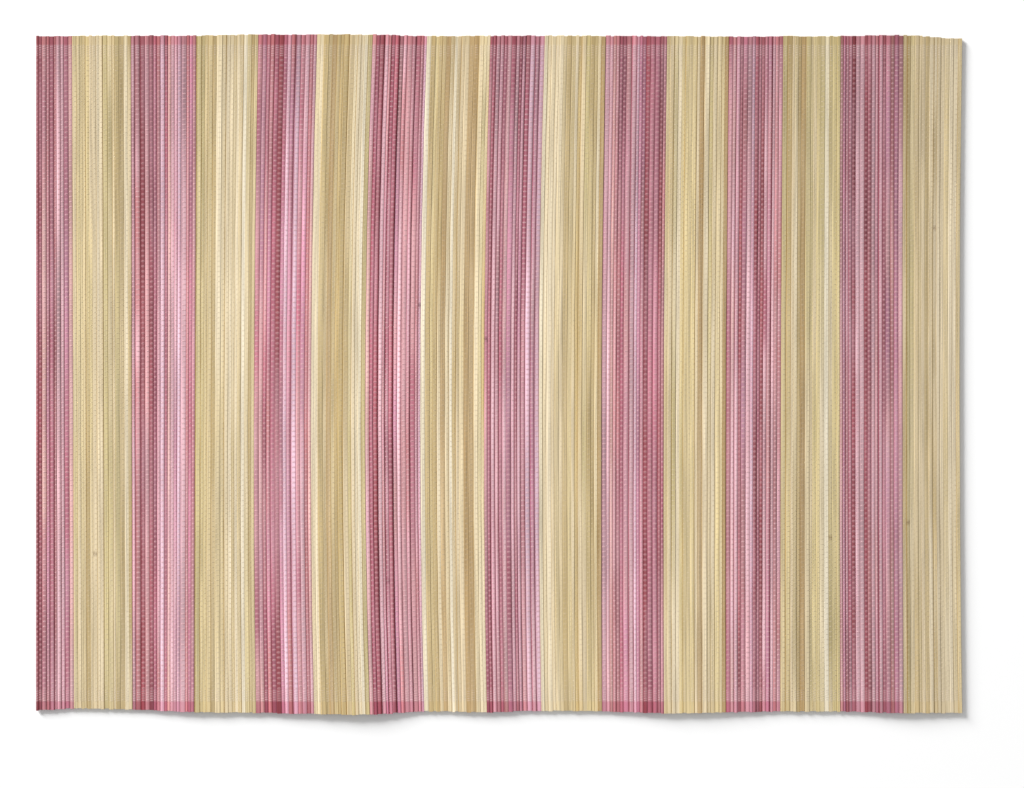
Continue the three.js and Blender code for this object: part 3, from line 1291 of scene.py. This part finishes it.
@dataclass(frozen=True)
class ThreadFinish:
    """The surface of the thread.

    twist is how long a turn of the thread is in millimetres. fluff and worn are how many tufts and
    worn places go to a metre, each with the range of its noise, and with the shade of the tufts and
    how much of its colour a worn place keeps.
    """

    name: str
    effects: WeaveEffects
    colour: Colour
    twist: float
    roughness: float
    fluff: float = 1400.0
    fluff_range: tuple[float, float] = (0.3, 0.7)
    fluff_shade: tuple[float, float] = (0.92, 1.08)
    worn: float = 260.0
    worn_stretch: tuple[float, float, float] = (1.0, 0.4, 0.0)
    worn_range: tuple[float, float] = (0.35, 0.65)
    worn_keeps: tuple[float, float] = (0.5, 1.0)
    ply_height: float = 0.3
    specular: float = 0.2
    sheen: float = 0.15
    bump_strength: float = 0.3
    bump_depth: float = 0.05

    def material(self) -> Material:
        """Builds the material.

        Returns:
            The material, which reads the thread's own attributes.
        """
        nodes = Finish(self.name)
        place = nodes.fact("straight", "Vector")
        dye = nodes.group(self.effects.dye())
        fluff = nodes.noise(place, self.fluff, detail=2.0, roughness=0.6)["Fac"]
        x, y, z = nodes.parts(nodes.scale(place, (1 / (self.twist * MM),) * 3))
        plies = nodes.math("SINE", (x + y + z) * math.tau)
        rubbed = nodes.scale(place, self.worn_stretch)
        worn = nodes.noise(rubbed, self.worn, detail=1.0, roughness=0.5)["Fac"]
        keeps = nodes.spread(worn, *self.worn_range, *self.worn_keeps)
        bands = self.effects.warp.band_cover
        cover = nodes.spread(nodes.fact("banded"), 0.0, 1.0, nodes.fact("cover"), bands)
        colour = nodes.mix(cover * keeps, dye["Colour"], linear(self.colour))
        shade = nodes.spread(fluff, *self.fluff_range, *self.fluff_shade)
        nodes.feed(nodes.shader.inputs["Base Color"], nodes.shade(colour, shade))
        nodes.shader.inputs["Roughness"].default_value = self.roughness
        nodes.shader.inputs["Specular IOR Level"].default_value = self.specular
        nodes.shader.inputs["Sheen Weight"].default_value = self.sheen
        nodes.bump(fluff + plies * self.ply_height, self.bump_strength, self.bump_depth)
        return nodes.material


@dataclass
class Studio:
    """The pale floor, the soft light and the camera over the mat.

    middle is where the camera looks, height how far over the floor it hangs and view_width how much
    of the floor it sees, in millimetres. The floor and the key light are in metres and watts.
    """

    middle: tuple[float, float] = (6.3, -9.5)
    height: float = 1176.0
    view_width: float = 498.2
    sensor: float = 36.0
    floor_side: float = 6.0
    floor_tint: Colour = (0.975, 0.975, 0.975)
    floor_roughness: float = 0.9
    sky: float = 0.47
    key_from: tuple[float, float, float] = (-4.2, 4.2, 1.95)
    key_side: float = 2.4
    key_power: float = 860.0

    def build(self) -> None:
        """Sets the scene round the mat."""
        self.floor()
        self.lights()
        self.camera()
        bpy.context.scene.view_settings.view_transform = "Standard"

    def floor(self) -> None:
        """A wide plain floor that the mat lies on."""
        half = self.floor_side / 2
        corners = [(-half, -half, 0), (half, -half, 0), (half, half, 0), (-half, half, 0)]
        mesh = bpy.data.meshes.new("floor")
        mesh.from_pydata(corners, [], [(0, 1, 2, 3)])
        floor = linked("floor", mesh, {})
        finish = Finish("pale_floor")
        finish.shader.inputs["Base Color"].default_value = linear(self.floor_tint)
        finish.shader.inputs["Roughness"].default_value = self.floor_roughness
        finish.shader.inputs["Specular IOR Level"].default_value = 0.0
        mesh.materials.append(finish.material)

    def lights(self) -> None:
        """An even pale sky and one soft light from the upper left."""
        world = bpy.data.worlds.new("studio")
        world.use_nodes = True
        background = world.node_tree.nodes["Background"]
        background.inputs["Color"].default_value = (1.0, 1.0, 1.0, 1.0)
        background.inputs["Strength"].default_value = self.sky
        bpy.context.scene.world = world
        lamp = bpy.data.lights.new("key", "AREA")
        lamp.size = self.key_side
        lamp.energy = self.key_power
        key = placed("key", lamp)
        key.location = Vector(self.key_from)
        key.rotation_euler = key.location.to_track_quat("Z", "Y").to_euler()

    def camera(self) -> None:
        """A camera straight above the mat."""
        lens = bpy.data.cameras.new("camera")
        lens.sensor_width = self.sensor
        lens.lens = self.sensor * self.height / self.view_width
        camera = placed("camera", lens)
        camera.location = Vector((*self.middle, self.height)) * MM
        bpy.context.scene.camera = camera


def settle(piece: Piece) -> None:
    """Makes a piece ride with the mat and stand for its solid.

    Args:
        piece: the piece.
    """
    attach(piece, "root")
    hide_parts(MAT_NODE)
    log.info("%s: %d faces", piece.name, len(piece.data.polygons))


def main() -> None:
    """Builds the placemat and the studio round it."""
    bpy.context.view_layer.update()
    logging.basicConfig(level=logging.INFO, format="%(name)s %(message)s")
    Studio().build()
    plan = WeavePlan()
    lie = MatLie(plan).tree()
    warp = ThreadWarp(plan, lie)
    effects = WeaveEffects(warp)
    finishes = {
        Dye.ROSE: BambooFinish(
            "rose_bamboo", effects, contrast=0.5, fibre_width=0.7, fades=11.0, wander=0.75,
            # flank is the painted shade along the sides of each rose splint.
            flank_shade_tint=(0.67, 0.39, 0.45), flank_shade_from=0.35, flank_shade_least=0.3,
            fuzz_colour=(0.87, 0.66, 0.68), fuzz=0.55,
            far_end=(1.0, 0.88, 0.88), near_end=(0.96, 0.84, 0.87), far_fade=(0.88, 0.85, 0.86),
            mark_colour=(0.30, 0.14, 0.15), mark_share=0.03,
            bloom_colour=(0.85, 0.70, 0.75), bloom=0.4,
            roughness=(0.42, 0.62), specular=0.35,
        ).material(),
        Dye.NATURAL: BambooFinish(
            "natural_bamboo", effects, contrast=0.65, fibre_width=0.6, fades=5.5, wander=0.3,
            # flank is the painted shade along the sides of some natural splints.
            flank_shade_tint=(0.80, 0.72, 0.56), flank_shade_from=0.65, flank_shade_least=0.0,
            fuzz_colour=(0.86, 0.80, 0.66), fuzz=0.15,
            far_end=(0.99, 0.98, 0.95), near_end=(1.0, 0.99, 0.97), far_fade=(0.94, 0.935, 0.92),
            mark_colour=(0.40, 0.28, 0.16), mark_share=0.03,
            bloom_colour=(0.86, 0.81, 0.71), bloom=0.15,
            roughness=(0.38, 0.58), specular=0.4,
        ).material(),
    }
    thread = ThreadFinish(
        "warp_thread", effects, colour=(0.97, 0.88, 0.88), twist=0.35, roughness=0.85,
    ).material()
    stripes = SplintWeft(plan, lie).build(finishes)
    threads = warp.build(thread)
    for piece, stripe in zip(stripes, STRIPES):
        settle(piece)
        flat = (stripe.width * MM, plan.splint_length * MM)
    for piece in threads:
        settle(piece)


if __name__ == "__main__":
    main()
